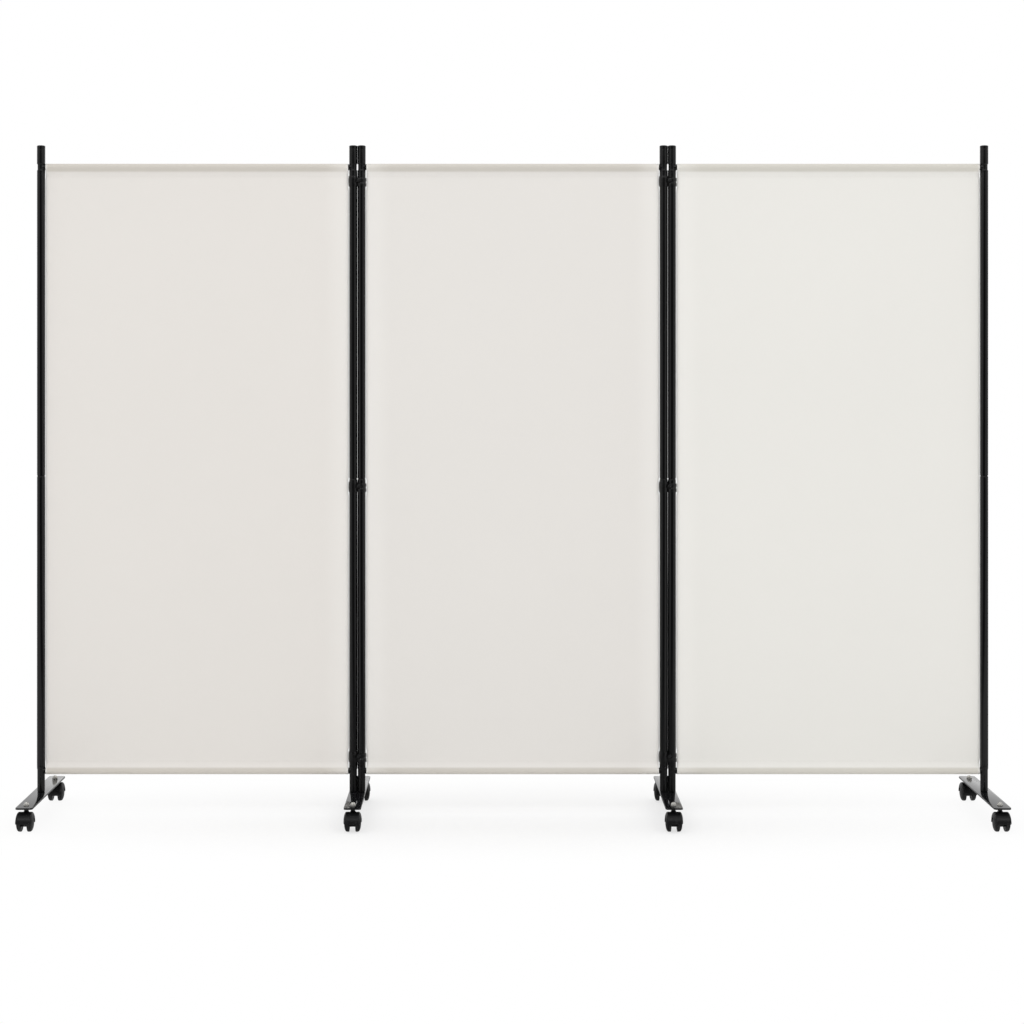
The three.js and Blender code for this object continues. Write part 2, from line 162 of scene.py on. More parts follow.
def makePlatePaint():
    finish = Finish("gloss black enamel")
    patches = finish.noise(platePaint["rubs"], 4, (1, platePaint["rubStretch"], 1))
    rubs = finish.step(patches, platePaint["rubsFrom"], platePaint["rubsTo"])
    wave = finish.noise(platePaint["wave"], 1)
    # painted shade: the sides under the polished top are painted darker, and are rougher
    side = 1 - finish.step(finish.place("Z"), plateTop - platePaint["shadedSideFrom"], plateTop)
    colour = finish.between(rubs * platePaint["rubShare"], platePaint["colour"], platePaint["rubbed"])
    colour = finish.between(side, colour, platePaint["side"])
    roughness = platePaint["roughness"] + rubs * platePaint["rubRoughness"] \
        + side * platePaint["sideRoughness"]
    return finish.surface(colour, roughness, finish.bump(wave, platePaint["peel"]),
                          IOR=platePaint["ior"])


moulding = {"colour": (0.002, 0.002, 0.0023), "worn": (0.006, 0.006, 0.006), "wear": 0.6,
            "roughness": 0.24, "uneven": 0.16, "cloud": 40, "spark": 2600, "texture": 0.00003}


def makeMoulding():
    finish = Finish("moulded black plastic")
    cloud = finish.noise(moulding["cloud"], 3)
    spark = finish.noise(moulding["spark"])
    colour = finish.between(cloud * moulding["wear"], moulding["colour"], moulding["worn"])
    roughness = moulding["roughness"] + (cloud - 0.5) * moulding["uneven"]
    return finish.surface(colour, roughness, finish.bump(spark, moulding["texture"]))


nylon = {"colour": (0.0075, 0.0075, 0.008), "scuffed": (0.013, 0.013, 0.013), "scuffShare": 0.5,
         "roughness": 0.34, "scuffRoughness": 0.18, "specular": 0.25,
         "scuffs": 140, "scuffsFrom": 0.52, "scuffsTo": 0.75, "spark": 1800, "texture": 0.00002}


def makeNylon():
    finish = Finish("black caster nylon")
    scuff = finish.step(finish.noise(nylon["scuffs"], 5), nylon["scuffsFrom"], nylon["scuffsTo"])
    spark = finish.noise(nylon["spark"])
    colour = finish.between(scuff * nylon["scuffShare"], nylon["colour"], nylon["scuffed"])
    roughness = nylon["roughness"] + scuff * nylon["scuffRoughness"]
    return finish.surface(colour, roughness, finish.bump(spark, nylon["texture"]),
                          **{"Specular IOR Level": nylon["specular"]})


tread = {"colour": (0.007, 0.007, 0.0075), "dusty": (0.03, 0.029, 0.028), "dustShare": 0.7,
         "roughness": 0.5, "dustRoughness": 0.2, "dust": 320, "dustFrom": 0.5, "dustTo": 0.72,
         "grain": 900, "ribPitch": 0.0016, "ribs": 0.00012}


def makeTread():
    finish = Finish("wheel tread")
    dust = finish.step(finish.noise(tread["dust"], 5), tread["dustFrom"], tread["dustTo"])
    height = finish.wave(finish.place("X"), tread["ribPitch"]) * 0.5 + finish.noise(tread["grain"], 3)
    colour = finish.between(dust * tread["dustShare"], tread["colour"], tread["dusty"])
    roughness = tread["roughness"] + dust * tread["dustRoughness"]
    return finish.surface(colour, roughness, finish.bump(height, tread["ribs"]))


# Metal finishes

metals = {
    "nickel plate": {"bright": (0.6, 0.59, 0.56), "dull": (0.4, 0.39, 0.36), "roughness": 0.18,
                     "metallic": 0.65, "bloom": 420},
    "zinc plated steel": {"bright": (0.5, 0.51, 0.53), "dull": (0.3, 0.3, 0.31), "roughness": 0.32,
                          "metallic": 1, "bloom": 260},
    "black oxide steel": {"bright": (0.012, 0.012, 0.013), "dull": (0.05, 0.049, 0.047),
                          "roughness": 0.3, "metallic": 0.3, "bloom": 500},
}
metalGrain = {"bloomFrom": 0.45, "bloomTo": 0.8, "bloomRoughness": 0.15,
              "fine": 2400, "fineRoughness": 0.04, "depth": 0.00001}


def makeMetal(name):
    own = metals[name]
    finish = Finish(name)
    clouds = finish.noise(own["bloom"], 5)
    bloom = finish.step(clouds, metalGrain["bloomFrom"], metalGrain["bloomTo"])
    fine = finish.noise(metalGrain["fine"])
    colour = finish.between(bloom, own["bright"], own["dull"])
    roughness = own["roughness"] + bloom * metalGrain["bloomRoughness"] \
        + fine * metalGrain["fineRoughness"]
    return finish.surface(colour, roughness, finish.bump(fine, metalGrain["depth"]),
                          Metallic=own["metallic"])


tubeFinish, plateFinish, mouldingFinish = makeTubePaint(), makePlatePaint(), makeMoulding()
nylonFinish, treadFinish = makeNylon(), makeTread()
nickelFinish, zincFinish, oxideFinish = (makeMetal(name) for name in metals)
print("hard finishes ready")


# Corners of an outline rounded by cutting them back
def softened(outline, radius, steps=3, closed=False):
    made = []
    for i, corner in enumerate(outline):
        if not closed and i in (0, len(outline) - 1):
            made.append(tuple(corner))
            continue
        corner = Vector(corner)
        before = Vector(outline[i - 1]) - corner
        after = Vector(outline[(i + 1) % len(outline)]) - corner
        reach = min(radius, before.length * 0.45, after.length * 0.45)
        start, end = corner + before.normalized() * reach, corner + after.normalized() * reach
        for k in range(steps + 1):
            t = k / steps
            made.append(tuple(start * (1 - t) ** 2 + corner * (2 * t * (1 - t)) + end * t ** 2))
    return made


# Turned about Z from (radius, height) points
def turned(outline, sides=40, closed=False):
    points, faces, rings = [], [], []
    for radius, height in outline:
        start = len(points)
        if radius < 1e-7:
            points.append((0, 0, height))
            rings.append([start] * sides)
            continue
        for k in range(sides):
            angle = 2 * math.pi * k / sides
            points.append((radius * math.cos(angle), radius * math.sin(angle), height))
        rings.append([start + k for k in range(sides)])
    for low, high in zip(rings, rings[1:] + (rings[:1] if closed else [])):
        for k in range(sides):
            corners = [low[k], low[(k + 1) % sides], high[(k + 1) % sides], high[k]]
            kept = list(dict.fromkeys(corners))
            if len(kept) > 2:
                faces.append(kept)
    return points, faces


# Loops of equal length joined one to the next, with flat ends
def lofted(loops):
    size = len(loops[0])
    points = [tuple(point) for loop in loops for point in loop]
    faces = []
    for i in range(len(loops) - 1):
        low, high = i * size, (i + 1) * size
        for k in range(size):
            n = (k + 1) % size
            faces.append([low + k, low + n, high + n, high + k])
    faces.append(list(range(size))[::-1])
    faces.append([(len(loops) - 1) * size + k for k in range(size)])
    return points, faces


# An anticlockwise outline moved inwards by a distance
def inset(outline, distance):
    made = []
    for i, (x, y) in enumerate(outline):
        ahead = Vector(outline[(i + 1) % len(outline)]) - Vector(outline[i - 1])
        inward = Vector((-ahead.y, ahead.x)).normalized() * distance
        made.append((x + inward.x, y + inward.y))
    return made


# Flat outline raised from low to high, with rounded edges
def raised(outline, low, high, edge, steps=3):
    lower = []
    for k in range(steps + 1):
        angle = math.pi / 2 * k / steps
        ring = inset(outline, edge * (1 - math.sin(angle)))
        lower.append([(x, y, low + edge * (1 - math.cos(angle))) for x, y in ring])
    upper = [[(x, y, low + high - z) for x, y, z in ring] for ring in reversed(lower)]
    return lofted(lower + upper)


def moved(shape, place):
    points, faces = shape
    return [tuple(place @ Vector(point)) for point in points], faces


def at(x=0.0, y=0.0, z=0.0):
    return Matrix.Translation((x, y, z))


# Shapes made about Z laid along X
alongX = Matrix.Rotation(math.pi / 2, 4, "Y")
# Outlines drawn in the YZ plane and raised along X
sideways = Matrix(((0, 0, 1, 0), (1, 0, 0, 0), (0, 1, 0, 0), (0, 0, 0, 1)))


def piece(name, shapes, body, stands=(), smooth=32):
    points, faces, which = [], [], []
    used = list(dict.fromkeys(finish for shape, finish in shapes))
    for (shapePoints, shapeFaces), finish in shapes:
        start = len(points)
        points += shapePoints
        faces += [[start + k for k in face] for face in shapeFaces]
        which += [used.index(finish)] * len(shapeFaces)
    mesh = bpy.data.meshes.new(name)
    mesh.from_pydata(points, [], faces)
    for finish in used:
        mesh.materials.append(finish)
    mesh.polygons.foreach_set("material_index", which)
    work = bmesh.new()
    work.from_mesh(mesh)
    bmesh.ops.recalc_face_normals(work, faces=work.faces)
    work.to_mesh(mesh)
    work.free()
    mesh.shade_smooth()
    mesh.set_sharp_from_angle(angle=math.radians(smooth))
    made = bpy.data.objects.new(name, mesh)
    bpy.context.scene.collection.objects.link(made)
    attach(made, body)
    if stands:
        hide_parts(*stands)
    return made


def middleOf(node):
    low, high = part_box(node)
    return (low + high) / 2


print("shape tools ready")


pole = {
    "radius": 0.01095, "wall": 0.0012, "edge": 0.00035, "sides": 48,
    "lowerRadius": 0.0111, "straightBelow": 0.6,
    "plug": 0.03, "plugRadius": 0.0091, "neck": 0.0094, "neckReach": 0.0072, "taper": 0.0016,
    "capRadius": 0.01105, "capCrown": 0.0018, "capDome": 0.0008,
    "capEdge": 0.0012, "capGroove": 0.0004, "grooveHalf": 0.0006, "grooveDrop": 0.0105,
    "swage": 0.003, "sleeve": 0.04, "swageRound": 0.0008,
    "boss": 0.00835, "bossReach": 0.012, "peg": 0.0065, "pegLength": 0.028, "bossRound": 0.0009,
    "leg": 0.0101, "legReach": 0.0045, "legFoot": 0.0008, "round": 0.0006,
}

poles = {
    "left_outer": ("left_panel", 1),
    "left_inner": ("left_panel", -1),
    "centre_left": ("centre_panel", 1),
    "centre_right": ("centre_panel", -1),
    "right_inner": ("right_panel", 1),
    "right_outer": ("right_panel", -1),
}


# Boss on the neck and the peg inside the rod, towards the panel
def rodHolder(side, height):
    tip = pole["bossReach"] + pole["pegLength"]
    outline = softened([
        (0, 0), (pole["boss"], 0), (pole["boss"], pole["bossReach"]),
        (pole["peg"], pole["bossReach"]), (pole["peg"], tip), (0, tip),
    ], pole["bossRound"])
    lay = Matrix.Rotation(side * math.pi / 2, 4, "Y")
    return moved(turned(outline, sides=32), at(z=height) @ lay)


# Cap with its plug in the upper tube, a neck at the rod and a grooved head
def topCapShapes(side, rodHeight, shoulder):
    neckLow, neckTop = rodHeight - pole["neckReach"], rodHeight + pole["neckReach"]
    groove, half = screenTop - pole["grooveDrop"], pole["grooveHalf"]
    wide, sunk = pole["capRadius"], pole["capRadius"] - pole["capGroove"]
    crown = screenTop - pole["capDome"]
    outline = [
        (0, shoulder - pole["plug"]), (pole["plugRadius"], shoulder - pole["plug"]),
        (pole["plugRadius"], shoulder), (pole["radius"], shoulder),
        (pole["radius"], neckLow - pole["taper"]), (pole["neck"], neckLow),
        (pole["neck"], neckTop), (wide, neckTop + pole["taper"]),
        (wide, groove - half), (sunk, groove - half / 2), (sunk, groove + half / 2),
        (wide, groove + half), (wide, crown - pole["capEdge"]), (wide - pole["capCrown"], crown),
        (wide / 2, screenTop - pole["capDome"] / 4), (0, screenTop),
    ]
    return [turned(softened(outline, pole["round"]), pole["sides"]), rodHolder(side, rodHeight)]


# Plain tube with its ends just broken
def upperTubeShapes(low, high):
    outer, inner = pole["radius"], pole["radius"] - pole["wall"]
    outline = [(inner, low), (outer, low), (outer, high), (inner, high)]
    return [turned(softened(outline, pole["edge"], closed=True), pole["sides"], closed=True)]


# The lower tube is a shade wider towards its foot, and its top end is swaged into a sleeve
# that enters the upper tube
def lowerTubeShapes(low, joint):
    outer, inner = pole["radius"], pole["radius"] - pole["wall"]
    wide = pole["lowerRadius"]
    sleeve, bore = pole["plugRadius"], pole["plugRadius"] - pole["wall"]
    outline = [
        (inner, low), (wide, low), (wide, pole["straightBelow"]),
        (outer, joint - pole["swage"]), (sleeve, joint),
        (sleeve, joint + pole["sleeve"]), (bore, joint + pole["sleeve"]),
        (bore, joint), (inner, joint - pole["swage"]),
    ]
    return [turned(softened(outline, pole["swageRound"], closed=True), pole["sides"], closed=True)]


# Leg from the plate to its plug in the lower tube
def legShapes(side, rodHeight, shoulder):
    high = rodHeight + pole["legReach"]
    bottom, wide, edge = plateTop + gap, pole["leg"], pole["legFoot"]
    outline = [
        (0, bottom), (wide - edge, bottom), (wide, bottom + 2 * edge), (wide, high),
        (pole["radius"], high + pole["taper"]), (pole["radius"], shoulder),
        (pole["plugRadius"], shoulder), (pole["plugRadius"], shoulder + pole["plug"]),
        (0, shoulder + pole["plug"]),
    ]
    return [turned(softened(outline, pole["round"]), pole["sides"]), rodHolder(side, rodHeight)]


# Hexagon with blunt corners, chamfered at both ends
def hexShape(flats, low, high, chamfer=0.0007, blunt=0.0002, sides=48):
    loops, slope = [], chamfer / 2
    for height, cut in ((low, chamfer), (low + slope, 0), (high - slope, 0), (high, chamfer)):
        loop = []
        for k in range(sides):
            angle = 2 * math.pi * k / sides
            offFlat = (angle + math.pi / 6) % (math.pi / 3) - math.pi / 6
            corner = flats / 2 / math.cos(math.pi / 6) - blunt - cut
            reach = min(flats / 2 / math.cos(offFlat), corner)
            loop.append((reach * math.cos(angle), reach * math.sin(angle), height))
        loops.append(loop)
    return lofted(loops)


stud = {"radius": 0.004, "tip": 0.0006, "washerRadius": 0.008, "washer": 0.0015,
        "flats": 0.013, "nut": 0.005, "tail": 0.0015, "thread": 0.00025, "turns": 3}


# Stud under a leg, through the plate, with its washer and nut
def studShapes():
    washerTop, shankTop = plateBottom - gap, plateTop + 2 * gap
    nutTop = washerTop - stud["washer"]
    nutLow, radius = nutTop - stud["nut"], stud["radius"]
    tip = nutLow - stud["tail"]
    shank = [(0, tip), (radius - stud["tip"], tip)]
    for k in range(stud["turns"]):
        ridge = tip + stud["tail"] * (k + 0.5) / stud["turns"]
        shank += [(radius, ridge), (radius - stud["thread"], ridge + stud["thread"])]
    shank += [(radius, nutLow + stud["thread"]), (radius, shankTop), (0, shankTop)]
    wide = stud["washerRadius"]
    washer = [(radius, nutTop), (wide, nutTop), (wide, washerTop), (radius, washerTop)]
    washer = turned(softened(washer, gap, closed=True), sides=40, closed=True)
    return [turned(shank, sides=32), washer, hexShape(stud["flats"], nutLow, nutTop)]


for name, (body, side) in poles.items():
    panel = name.split("_")[0]
    x = middleOf(name + "_upper_tube").x
    topRod, bottomRod = middleOf(panel + "_top_rod").z, middleOf(panel + "_bottom_rod").z
    upperLow, upperHigh = (corner.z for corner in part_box(name + "_upper_tube"))
    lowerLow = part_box(name + "_lower_tube")[0].z
    parts = {
        "top_cap": (topCapShapes(side, topRod, upperHigh + gap), mouldingFinish, "black_plastic"),
        "upper_tube": (upperTubeShapes(upperLow, upperHigh), tubeFinish, "black_tube"),
        "lower_tube": (lowerTubeShapes(lowerLow, upperLow - gap), tubeFinish, "black_tube"),
        "leg": (legShapes(side, bottomRod, lowerLow - gap), mouldingFinish, "black_plastic"),
    }
    for part, (shapes, finish, slot) in parts.items():
        placed = [(moved(shape, at(x)), finish) for shape in shapes]
        piece(f"{name}_{part}_turned", placed, body, [f"{name}_{part}"])
    piece(f"{name}_stud", [(moved(shape, at(x)), zincFinish) for shape in studShapes()], body)
print("poles made:", len(poles))


rod = {"radius": 0.008, "wall": 0.0012, "edge": 0.0003, "sides": 40}

panels = {"left": "left_panel", "centre": "centre_panel", "right": "right_panel"}

for panel, body in panels.items():
    for level in ("top", "bottom"):
        node = f"{panel}_{level}_rod"
        low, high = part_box(node)
        outer, inner = rod["radius"], rod["radius"] - rod["wall"]
        outline = [(inner, low.x), (outer, low.x), (outer, high.x), (inner, high.x)]
        shape = turned(softened(outline, rod["edge"], closed=True), rod["sides"], closed=True)
        place = at(z=middleOf(node).z) @ alongX
        piece(node + "_tube", [(moved(shape, place), tubeFinish)], body, [node])
print("rods made")


cloth = {
    "thickness": 0.0009, "rodSlack": 0.00045, "pocket": 0.022, "flap": 0.013,
    "columns": 110, "rows": 150, "bendSteps": 20, "flapGap": 0.00005,
    "toPole": 0.0010, "dodge": 0.0155, "dodgeFade": 0.012, "dodgeCurve": 14, "waist": 0.0002,
    "billow": 0.0005, "waves": (0.3, 0.8), "waveLean": 3, "turn": 6.3,
    "pucker": 0.00022, "puckers": (0.024, 0.07), "puckerReach": 0.028, "puckerStart": 0.008,
    "hem": 0.009, "hemDepth": 0.0014, "hemTurns": 0.036, "hemStart": 0.0004, "hemSink": 0.0001,
    "hemRound": 0.0006,
    "stitch": 0.0023, "stitchPitch": 0.0031, "stitchWidth": 0.00042, "stitchRise": 0.0003,
    "seamDrop": 0.004, "seamStart": 0.004, "seamShort": 0.006, "hemStitch": 0.0072,
}

clothPaint = {
    # the panels are one cloth; their colours differ as painted light, most of all the paler right panel
    "left": (0.79, 0.76, 0.722), "centre": (0.792, 0.767, 0.732), "right": (0.824, 0.81, 0.77),
    # the band colour and the top and bottom fades paint shade over the rods' pockets
    "shade": 0.955, "band": (0.772, 0.757, 0.722), "topRodShade": (0.0075, 0.0005),
    "bottomRodShade": (0.003, 0.004),
    # the hem colour and its shares are partly the hems' own paler tone and partly painted light against the
    # poles' shade
    "hem": (0.95, 0.935, 0.9), "hemPaleAndPaintedLight": 0.85, "poleShadeLiftWidth": 0.075, "poleShadeLift": 0.3,
    "weavePitch": 0.0007, "weave": 0.00006, "slub": 0.7, "slubs": 60, "slubLength": 22,
    "cloud": 0.6, "clouds": 2.2, "roughness": 0.88, "uneven": 0.05, "sheen": 0.12,
}


def makeCloth(panel, bottomRod, topRod, leftEdge, rightEdge, clips):
    finish = Finish(f"{panel} panel cloth")
    x, z = finish.place("X"), finish.place("Z")
    slubs, long = clothPaint["slubs"], clothPaint["slubLength"]
    slub = (finish.noise(slubs, 4, (1, 1, long)) - 0.5) + (finish.noise(slubs, 4, (long, 1, 1)) - 0.5)
    cloud = finish.noise(clothPaint["clouds"], 3) - 0.5
    own = clothPaint[panel]
    dark = tuple(value * clothPaint["shade"] for value in own)
    colour = finish.between(0.5 + slub * clothPaint["slub"] + cloud * clothPaint["cloud"], own, dark)
    # painted shade: the cloth is painted darker over the pockets, where the black rods block the light
    # through the thin cloth and show through it
    reach = cloth["rodSlack"] + rod["radius"]
    underTop, overBottom = topRod - reach, bottomRod + reach
    fadeFrom, fadeTo = clothPaint["topRodShade"]
    inTopRodShade = finish.step(z, underTop - fadeFrom, underTop - fadeTo)
    fadeFrom, fadeTo = clothPaint["bottomRodShade"]
    inBottomRodShade = 1 - finish.step(z, overBottom - fadeFrom, overBottom + fadeTo)
    band = tuple(value * share for value, share in zip(own, clothPaint["band"]))
    colour = finish.between(inTopRodShade + inBottomRodShade, colour, band)
    # the folded side hems are paler, partly as their own tone and partly as painted light that lifts the
    # shade the poles cast on the cloth's edges; along the sides held by the clips a wider strip is painted
    # paler too, as painted light against the shade of the paired poles
    hem, poleShadeLiftWidth = cloth["hem"], clothPaint["poleShadeLiftWidth"]
    sides = (1 - finish.step(x, leftEdge, leftEdge + hem)) + finish.step(x, rightEdge - hem, rightEdge)
    colour = finish.between(sides * clothPaint["hemPaleAndPaintedLight"], colour, clothPaint["hem"])
    if clips[0]:
        drawn = 1 - finish.step(x, leftEdge, leftEdge + poleShadeLiftWidth)
        colour = finish.between(drawn * clothPaint["poleShadeLift"], colour, clothPaint["hem"])
    if clips[1]:
        drawn = finish.step(x, rightEdge - poleShadeLiftWidth, rightEdge)
        colour = finish.between(drawn * clothPaint["poleShadeLift"], colour, clothPaint["hem"])
    weave = finish.wave(x, clothPaint["weavePitch"]) * finish.wave(z, clothPaint["weavePitch"])
    height = weave + slub * 2
    return finish.surface(colour, clothPaint["roughness"] + slub * clothPaint["uneven"],
                          finish.bump(height, clothPaint["weave"]),
                          **{"Sheen Weight": clothPaint["sheen"]})


thread = {"colour": (0.66, 0.63, 0.57), "shaded": (0.5, 0.47, 0.42), "shade": 0.3, "twistShade": 0.2,
          "roughness": 0.7, "twistRoughness": 0.05, "twist": 0.0005, "depth": 0.00003}


def makeThread():
    finish = Finish("sewing thread")
    twist = finish.wave(finish.place("X") + finish.place("Z"), thread["twist"])
    shade = twist * thread["twistShade"] + thread["shade"]
    colour = finish.between(shade, thread["colour"], thread["shaded"])
    roughness = thread["roughness"] + twist * thread["twistRoughness"]
    return finish.surface(colour, roughness, finish.bump(twist, thread["depth"]))


threadFinish = makeThread()


# How one panel's cloth stands off its plane and where its sides run: close to the poles,
# but drawn in by the pockets and by the clips at the given heights
class Hang:
    def __init__(self, seed, poleGap, clips, left, right, low, high):
        chance, turn, lean = random.Random(seed), cloth["turn"], cloth["waveLean"]
        self.narrow, self.clips = poleGap - cloth["toPole"], clips
        self.left, self.right, self.low, self.high = left - self.narrow, right + self.narrow, low, high
        self.waves = [(chance.uniform(*cloth["waves"]), chance.uniform(0, turn),
                       chance.uniform(-lean, lean)) for k in range(4)]
        self.puckers = [(chance.uniform(*cloth["puckers"]), chance.uniform(0, turn)) for k in range(4)]

    # 0 at the lower seam, 1 at the upper
    def up(self, z):
        return min(max((z - self.low) / (self.high - self.low), 0), 1)

    def off(self, x, z):
        share, turn = self.up(z), cloth["turn"]
        billow = sum(math.sin(x / length * turn + start + lean * share)
                     for length, start, lean in self.waves) / 4
        nearest = max(min(z - self.low, self.high - z), 0)
        fade = math.exp(-nearest / cloth["puckerReach"]) * min(nearest / cloth["puckerStart"], 1)
        pucker = sum(math.sin(x / length * turn + start) for length, start in self.puckers) / 4
        swell = math.sin(math.pi * share)
        return billow * cloth["billow"] * swell + pucker * cloth["pucker"] * fade * 2

    # 1 where the cloth keeps clear of the pole on that side, 0 where it runs beside it
    def dodge(self, side, z):
        fromClips = [abs(z - height) - cloth["dodge"] for height in self.clips[side]]
        away = min([z - self.low, self.high - z] + fromClips)
        share = min(max(away / cloth["dodgeFade"], 0), 1)
        return 1 - share * share * (3 - 2 * share)

    def across(self, x, z):
        middle, half = (self.left + self.right) / 2, (self.right - self.left) / 2
        aside = (x - middle) / half
        drawn = self.narrow * self.dodge(aside > 0, z) * abs(aside) ** cloth["dodgeCurve"]
        waist = cloth["waist"] * math.sin(math.pi * self.up(z))
        return x - aside * (drawn + waist)


# The sheet's path in the YZ plane: up the back of one pocket, round the rod and down the front
def pocketPath(rodHeight, up):
    radius = rod["radius"] + cloth["rodSlack"] + cloth["thickness"] / 2
    lean = math.asin(radius / cloth["pocket"])
    behind = cloth["thickness"] + cloth["flapGap"]
    path = [(behind, rodHeight - up * (cloth["pocket"] + cloth["flap"])),
            (behind, rodHeight - up * (cloth["pocket"] + cloth["flap"] / 2)),
            (behind, rodHeight - up * cloth["pocket"])]
    bend = []
    for k in range(cloth["bendSteps"] + 1):
        angle = -lean + (math.pi + 2 * lean) * k / cloth["bendSteps"]
        bend.append((radius * math.cos(angle), rodHeight + up * radius * math.sin(angle)))
    seam = (0, rodHeight - up * cloth["pocket"])
    for first, last in ((path[-1], bend[0]), (bend[-1], seam)):
        for k in range(1, 4):
            t = k / 4
            path.append((first[0] * (1 - t) + last[0] * t, first[1] * (1 - t) + last[1] * t))
        if last == bend[0]:
            path += bend
    return path + [seam]


def sheetShape(hang, topRod, bottomRod):
    down, rise = pocketPath(topRod, 1), pocketPath(bottomRod, -1)[::-1]
    high, low = down[-1][1], rise[0][1]
    middle = [(0, high + (low - high) * k / cloth["rows"]) for k in range(1, cloth["rows"])]
    path = down + middle + rise
    points, faces, columns = [], [], cloth["columns"]
    for y, z in path:
        for k in range(columns + 1):
            x = hang.left + (hang.right - hang.left) * k / columns
            points.append((hang.across(x, z), y + hang.off(x, z), z))
    for row in range(len(path) - 1):
        for k in range(columns):
            first = row * (columns + 1) + k
            faces.append([first, first + 1, first + columns + 2, first + columns + 1])
    length = sum(math.dist(a, b) for a, b in zip(path, path[1:]))
    return (points, faces), length


# Folded hem along one side, on the back of the cloth
def hemShape(hang, edge, inward):
    low, high = hang.low + cloth["hemTurns"] / 2, hang.high - cloth["hemTurns"] / 2
    skin, start, end = cloth["thickness"] / 2, cloth["hemStart"], cloth["hem"]
    near, far = skin - cloth["hemSink"], skin + cloth["hemDepth"]
    section = softened([(start, near), (start, far), (end, far), (end, near)], cloth["hemRound"],
                       closed=True)
    loops = []
    for k in range(cloth["rows"] + 1):
        z = low + (high - low) * k / cloth["rows"]
        x = hang.across(edge, z)
        loops.append([(x + inward * dx, y + hang.off(edge, z), z) for dx, y in section])
    return lofted(loops)


# One stitch along X or Z, standing out of the front (face -1) or the back (face 1)
def stitchShape(centre, along, face):
    middle, length = Vector(centre), Vector(along) * (cloth["stitch"] / 2)
    across = Vector((along[2], 0, along[0])) * (cloth["stitchWidth"] / 2)
    rise = Vector((0, face * cloth["stitchRise"], 0))
    corners = [middle - length, middle + across + rise / 2, middle + length,
               middle - across + rise / 2, middle + rise, middle - rise / 3]
    points = [tuple(corner) for corner in corners]
    faces = [[k, (k + 1) % 4, 4] for k in range(4)] + [[(k + 1) % 4, k, 5] for k in range(4)]
    return points, faces


def stitchRows(hang):
    shapes, skin, pitch = [], cloth["thickness"] / 2, cloth["stitchPitch"]
    flap = cloth["thickness"] + skin
    for z in (hang.high - cloth["seamDrop"], hang.low + cloth["seamDrop"]):
        for k in range(int((hang.right - hang.left - cloth["seamShort"]) / pitch)):
            x = hang.left + cloth["seamStart"] + k * pitch
            y = hang.off(x, z)
            shapes += [stitchShape((x, y - skin, z), (1, 0, 0), -1),
                       stitchShape((x, y + flap, z), (1, 0, 0), 1)]
    low, high = hang.low + cloth["hemTurns"] / 2, hang.high - cloth["hemTurns"] / 2
    hemFace = skin + cloth["hemDepth"]
    for x0 in (hang.left + cloth["hemStitch"], hang.right - cloth["hemStitch"]):
        for k in range(int((high - low) / pitch)):
            z = low + (k + 0.5) * pitch
            x, y = hang.across(x0, z), hang.off(x0, z)
            shapes += [stitchShape((x, y - skin, z), (0, 0, 1), -1),
                       stitchShape((x, y + hemFace, z), (0, 0, 1), 1)]
    return shapes


clipHeights = [middleOf(f"left_{level}_clip").z for level in ("top", "middle", "bottom")]
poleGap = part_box("centre_cloth")[0].x - middleOf("centre_left_upper_tube").x - pole["radius"]

for seed, (panel, body) in enumerate(panels.items()):
    low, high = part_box(panel + "_cloth")
    topRod, bottomRod = middleOf(panel + "_top_rod").z, middleOf(panel + "_bottom_rod").z
    clips = [[] if panel == "left" else clipHeights, [] if panel == "right" else clipHeights]
    seams = bottomRod + cloth["pocket"], topRod - cloth["pocket"]
    hang = Hang(seed, poleGap, clips, low.x, high.x, *seams)
    finish = makeCloth(panel, bottomRod, topRod, hang.left, hang.right, clips)
    shape, length = sheetShape(hang, topRod, bottomRod)
    sheet = piece(f"{panel}_sheet", [(shape, finish)], body, [panel + "_cloth"], 80)
    solid = sheet.modifiers.new("thickness", "SOLIDIFY")
    solid.thickness, solid.offset, solid.use_even_offset = cloth["thickness"], 0, True
    folds = [(hemShape(hang, hang.left, 1), finish), (hemShape(hang, hang.right, -1), finish)]
    hems = piece(f"{panel}_side_hems", folds, body, smooth=60)
    stitches = piece(f"{panel}_stitching", [(shape, threadFinish) for shape in stitchRows(hang)],
                     body, smooth=80)
    width = hang.right - hang.left + 4 * cloth["hem"]
    print(f"{panel} cloth made, cut {width:.3f} by {length:.3f} m")


foot = {
    "width": 0.045, "length": 0.406, "corner": 0.008, "cornerSteps": 8, "edge": 0.0005,
    "stemInset": 0.032,
}

nut = {"flats": 0.014, "hex": 0.003, "dome": 0.0064, "height": 0.0088, "sink": 0.0004,
       "domeSteps": 12, "sides": 48}

stem = {"radius": 0.004, "reach": 0.022, "waist": 0.0052, "flare": 0.0059, "flareHeight": 0.0016,
        "waistHeight": 0.0034, "flange": 0.0064, "flangeHeight": 0.0014, "flangeEdge": 0.0008,
        "round": 0.0005}

tongue = {"width": 0.005, "front": 0.00604, "back": 0.01004, "corner": 0.0015, "edge": 0.0004,
          "top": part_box("left_middle_foot")[1].z}


def plateOutline():
    x, y = foot["width"] / 2 - foot["corner"], foot["length"] / 2 - foot["corner"]
    outline = []
    for i, (cornerX, cornerY) in enumerate(((x, y), (-x, y), (-x, -y), (x, -y))):
        for k in range(foot["cornerSteps"] + 1):
            angle = math.pi / 2 * (i + k / foot["cornerSteps"])
            outline.append((cornerX + foot["corner"] * math.cos(angle),
                            cornerY + foot["corner"] * math.sin(angle)))
    return outline


